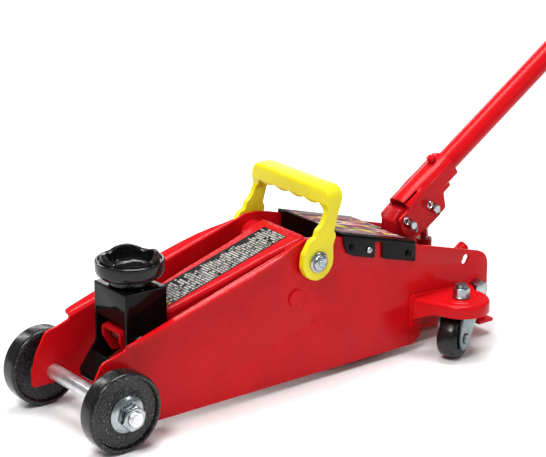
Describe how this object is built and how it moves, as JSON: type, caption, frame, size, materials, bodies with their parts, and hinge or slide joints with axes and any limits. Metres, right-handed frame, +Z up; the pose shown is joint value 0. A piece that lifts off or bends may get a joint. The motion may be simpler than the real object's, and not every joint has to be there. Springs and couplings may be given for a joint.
{
  "type": "hydraulic trolley jack",
  "caption": "Low wheeled hydraulic jack with a swivelling saddle on a levelled lift arm, a pumping handle, a folding carrying handle and castering rear wheels.",
  "frame": {"origin": "on the ground, at the middle of the whole jack with its handle as stored", "axes": "+X from the front wheels towards the pumping handle, +Y to the jack's far side in the picture's view, +Z up"},
  "size_m": [0.8968, 0.19, 0.4699],
  "materials": {
    "red_paint": "glossy red enamel",
    "arm_paint": "glossy red enamel",
    "unit_paint": "red enamel on cast iron and steel",
    "black_paint": "glossy black enamel",
    "cast_black": "black painted casting",
    "cover_black": "satin black enamel",
    "wheel_black": "black speckled casting",
    "caster_black": "hard black tread",
    "zinc": "bright zinc plate",
    "fork_zinc": "dull zinc plate",
    "polished_steel": "ground and hard chromed",
    "spring_steel": "plain spring wire",
    "yellow_plastic": "moulded, slightly glossy"
  },
  "bodies": {
    "frame": {"side_plate_near": "red_paint", "side_plate_far": "red_paint", "front_axle": "zinc", "axle_washer_near": "zinc", "axle_washer_far": "zinc", "axle_nut_near": "zinc", "axle_nut_far": "zinc", "main_pivot_shaft": "zinc", "link_anchor_rod": "red_paint", "base_plate": "red_paint", "hydraulic_unit": "unit_paint", "filler_plug": "zinc", "return_spring": "spring_steel", "fulcrum_block": "unit_paint", "fulcrum_pin": "zinc", "fulcrum_pin_cotter": "zinc", "top_cover": "cover_black", "cover_screw_near_1": "black_paint", "cover_screw_near_2": "black_paint", "cover_screw_far_1": "black_paint", "cover_screw_far_2": "black_paint", "cover_rivet_near": "zinc", "cover_rivet_far": "zinc", "carry_bolt_near": "zinc", "carry_bolt_far": "zinc", "caster_bracket_near": "red_paint", "caster_bracket_far": "red_paint", "rear_tie_bolt": "zinc", "rear_tie_nut": "zinc"},
    "arm": {"lift_arm": "arm_paint", "ram_roller": "polished_steel", "arm_tip_pin": "zinc"},
    "head": {"saddle_bracket": "black_paint", "link_tip_pin": "zinc"},
    "saddle": {"saddle": "cast_black", "saddle_clip": "spring_steel"},
    "levelling_links": {"level_link_near": "arm_paint", "level_link_far": "arm_paint"},
    "ram": {"ram": "polished_steel"},
    "plunger": {"pump_plunger": "polished_steel"},
    "handle": {"handle_socket": "red_paint", "handle_lower": "red_paint", "handle_upper": "red_paint", "handle_lock_bolt": "red_paint", "plunger_pin": "zinc", "plunger_pin_cotter": "zinc"},
    "valve": {"release_valve": "red_paint"},
    "carry_handle": {"carry_handle": "yellow_plastic"},
    "front_wheel_near": {"front_wheel_near": "wheel_black"},
    "caster_swivel_near": {"caster_fork_near": "fork_zinc", "caster_axle_near": "fork_zinc", "caster_nut_near": "zinc"},
    "caster_wheel_near": {"caster_wheel_near": "caster_black"},
    "front_wheel_far": {"front_wheel_far": "wheel_black"},
    "caster_swivel_far": {"caster_fork_far": "fork_zinc", "caster_axle_far": "fork_zinc", "caster_nut_far": "zinc"},
    "caster_wheel_far": {"caster_wheel_far": "caster_black"}
  },
  "joints": [
    {"name": "arm_lift", "type": "hinge", "parent": "frame", "child": "arm", "pos_m": [-0.21043, 0, 0.112], "axis": [0, 1, 0], "range_deg": [0, 68]},
    {"name": "head_level", "type": "hinge", "parent": "arm", "child": "head", "pos_m": [-0.37193, 0, 0.069], "axis": [0, 1, 0], "range_deg": [-68, 0]},
    {"name": "link_swing", "type": "hinge", "parent": "frame", "child": "levelling_links", "pos_m": [-0.22743, 0, 0.081], "axis": [0, 1, 0], "range_deg": [0, 68]},
    {"name": "saddle_turn", "type": "hinge", "parent": "head", "child": "saddle", "pos_m": [-0.36493, 0, 0.1125], "axis": [0, 0, 1], "continuous": true},
    {"name": "ram_travel", "type": "slide", "parent": "frame", "child": "ram", "axis": [-1, 0, 0], "range_m": [0, 0.035]},
    {"name": "handle_pump", "type": "hinge", "parent": "frame", "child": "handle", "pos_m": [-0.07393, 0, 0.108], "axis": [0, 1, 0], "range_deg": [-28, 30]},
    {"name": "plunger_stroke", "type": "slide", "parent": "frame", "child": "plunger", "axis": [0, 0, 1], "range_m": [-0.0145, 0.0135]},
    {"name": "valve_turn", "type": "hinge", "parent": "frame", "child": "valve", "pos_m": [-0.02893, -0.023, 0.0695], "axis": [0.832, 0, 0.5548], "range_deg": [0, 360]},
    {"name": "carry_handle_swing", "type": "hinge", "parent": "frame", "child": "carry_handle", "pos_m": [-0.21043, 0, 0.112], "axis": [0, 1, 0], "range_deg": [-28, 44]},
    {"name": "front_wheel_spin_near", "type": "hinge", "parent": "frame", "child": "front_wheel_near", "pos_m": [-0.41493, -0.0596, 0.0335], "axis": [0, 1, 0], "continuous": true},
    {"name": "caster_turn_near", "type": "hinge", "parent": "frame", "child": "caster_swivel_near", "pos_m": [-0.06093, -0.0695, 0.0486], "axis": [0, 0, 1], "continuous": true},
    {"name": "caster_wheel_spin_near", "type": "hinge", "parent": "caster_swivel_near", "child": "caster_wheel_near", "pos_m": [-0.07307, -0.07416, 0.0192], "axis": [0.3584, -0.9336, 0], "continuous": true},
    {"name": "front_wheel_spin_far", "type": "hinge", "parent": "frame", "child": "front_wheel_far", "pos_m": [-0.41493, 0.0596, 0.0335], "axis": [0, 1, 0], "continuous": true},
    {"name": "caster_turn_far", "type": "hinge", "parent": "frame", "child": "caster_swivel_far", "pos_m": [-0.06093, 0.0695, 0.0486], "axis": [0, 0, 1], "continuous": true},
    {"name": "caster_wheel_spin_far", "type": "hinge", "parent": "caster_swivel_far", "child": "caster_wheel_far", "pos_m": [-0.07307, 0.07416, 0.0192], "axis": [-0.3584, -0.9336, 0], "continuous": true}
  ],
  "couplings": [
    {"joint": "head_level", "follows": "arm_lift", "ratio": -1},
    {"joint": "link_swing", "follows": "arm_lift", "ratio": 1},
    {"joint": "ram_travel", "follows": "arm_lift", "m_per_rad": 0.0285},
    {"joint": "plunger_stroke", "follows": "handle_pump", "m_per_rad": -0.027}
  ]
}
